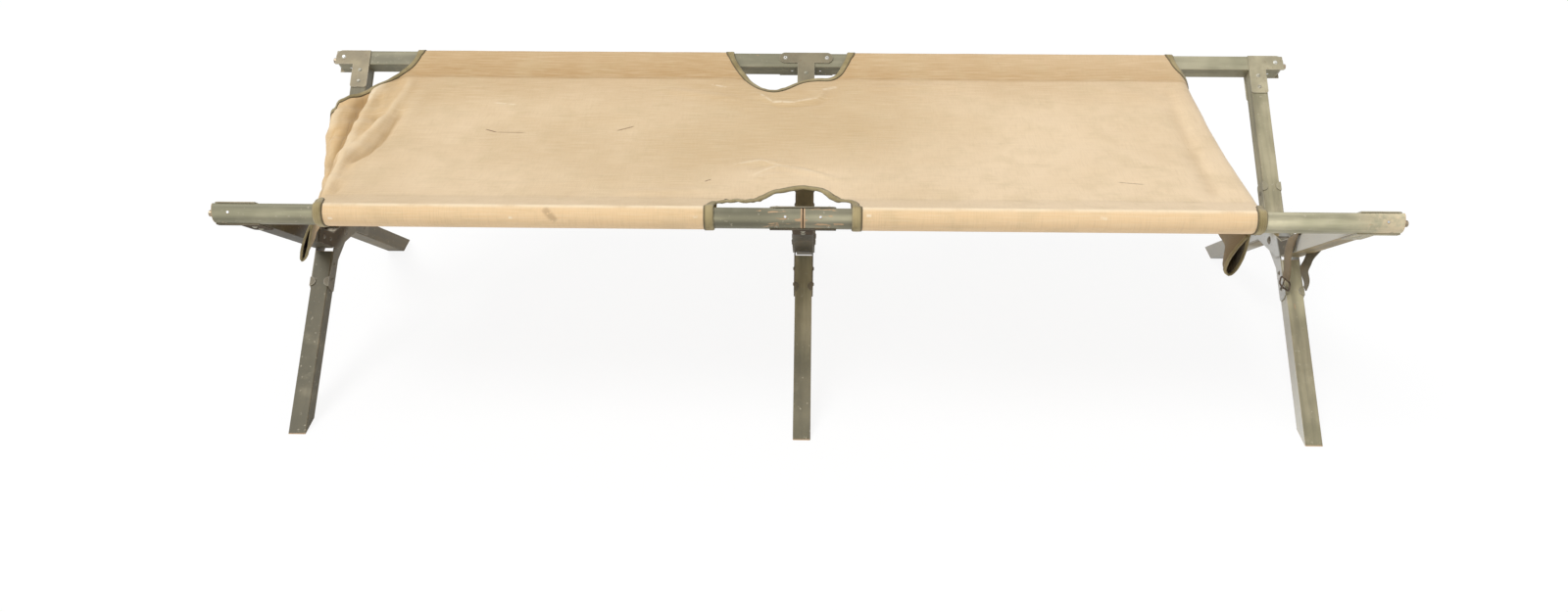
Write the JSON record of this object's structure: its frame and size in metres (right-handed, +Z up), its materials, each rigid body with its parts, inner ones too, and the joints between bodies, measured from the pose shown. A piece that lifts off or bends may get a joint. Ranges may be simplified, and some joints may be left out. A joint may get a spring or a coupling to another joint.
{
  "type": "folding cot",
  "caption": "Folding cot with crossed wooden legs, split painted side rails, steel brackets and a worn canvas bed with empty end pockets.",
  "frame": {"origin": "on the floor under the middle of the cot", "axes": "+X along the cot, +Y from the front rail to the rear rail, +Z up"},
  "size_m": [1.976, 0.7176, 0.4688],
  "materials": {
    "painted_timber": "worn olive-grey paint over hardwood",
    "painted_steel": "worn olive-grey paint on pressed steel",
    "rivet_steel": "rubbed bright",
    "pin_steel": "dull, paint worn off",
    "buckle_steel": "dark, slightly rusted",
    "canvas": "faded plain-weave cotton duck",
    "webbing": "woven cotton webbing"
  },
  "bodies": {
    "front_frame": {"buckle_tongue": "buckle_steel", "canvas_flap_left": "canvas", "canvas_flap_right": "canvas", "canvas_panel": "canvas", "canvas_sleeve_front_left": "canvas", "canvas_sleeve_front_right": "canvas", "corner_bracket_front_left": "painted_steel", "corner_bracket_front_right": "painted_steel", "corner_rivets_front": "rivet_steel", "end_pins_front": "pin_steel", "leg_front_left_lower": "painted_timber", "leg_front_left_upper": "painted_timber", "leg_front_middle_lower": "painted_timber", "leg_front_middle_upper": "painted_timber", "leg_front_right_lower": "painted_timber", "leg_front_right_upper": "painted_timber", "pivot_pin_left": "rivet_steel", "pivot_pin_middle": "rivet_steel", "pivot_pin_right": "rivet_steel", "rail_front_left": "painted_timber", "rail_front_right": "painted_timber", "splice_plates_front_left": "painted_steel", "splice_plates_front_middle": "painted_steel", "splice_plates_front_right": "painted_steel", "splice_rivets_front": "rivet_steel", "split_rivets_front": "rivet_steel", "strap_buckle": "buckle_steel", "strap_rivet": "rivet_steel", "tee_bracket_front": "painted_steel", "tee_rivets_front": "rivet_steel", "tie_strap": "webbing"},
    "rear_frame": {"canvas_sleeve_rear_left": "canvas", "canvas_sleeve_rear_right": "canvas", "corner_bracket_rear_left": "painted_steel", "corner_bracket_rear_right": "painted_steel", "corner_rivets_rear": "rivet_steel", "end_pins_rear": "pin_steel", "leg_rear_left_lower": "painted_timber", "leg_rear_left_upper": "painted_timber", "leg_rear_middle_lower": "painted_timber", "leg_rear_middle_upper": "painted_timber", "leg_rear_right_lower": "painted_timber", "leg_rear_right_upper": "painted_timber", "pivot_spacer_left": "rivet_steel", "pivot_spacer_middle": "rivet_steel", "pivot_spacer_right": "rivet_steel", "rail_rear_left": "painted_timber", "rail_rear_right": "painted_timber", "splice_plates_rear_left": "painted_steel", "splice_plates_rear_middle": "painted_steel", "splice_plates_rear_right": "painted_steel", "splice_rivets_rear": "rivet_steel", "split_rivets_rear": "rivet_steel", "tee_bracket_rear": "painted_steel", "tee_rivets_rear": "rivet_steel"}
  },
  "joints": [
    {"name": "scissor_fold", "type": "hinge", "parent": "front_frame", "child": "rear_frame", "pos_m": [0, 0, 0.22246], "axis": [1, 0, 0], "range_deg": [0, 100], "deforming": ["canvas_panel", "canvas_flap_left", "canvas_flap_right"]}
  ]
}
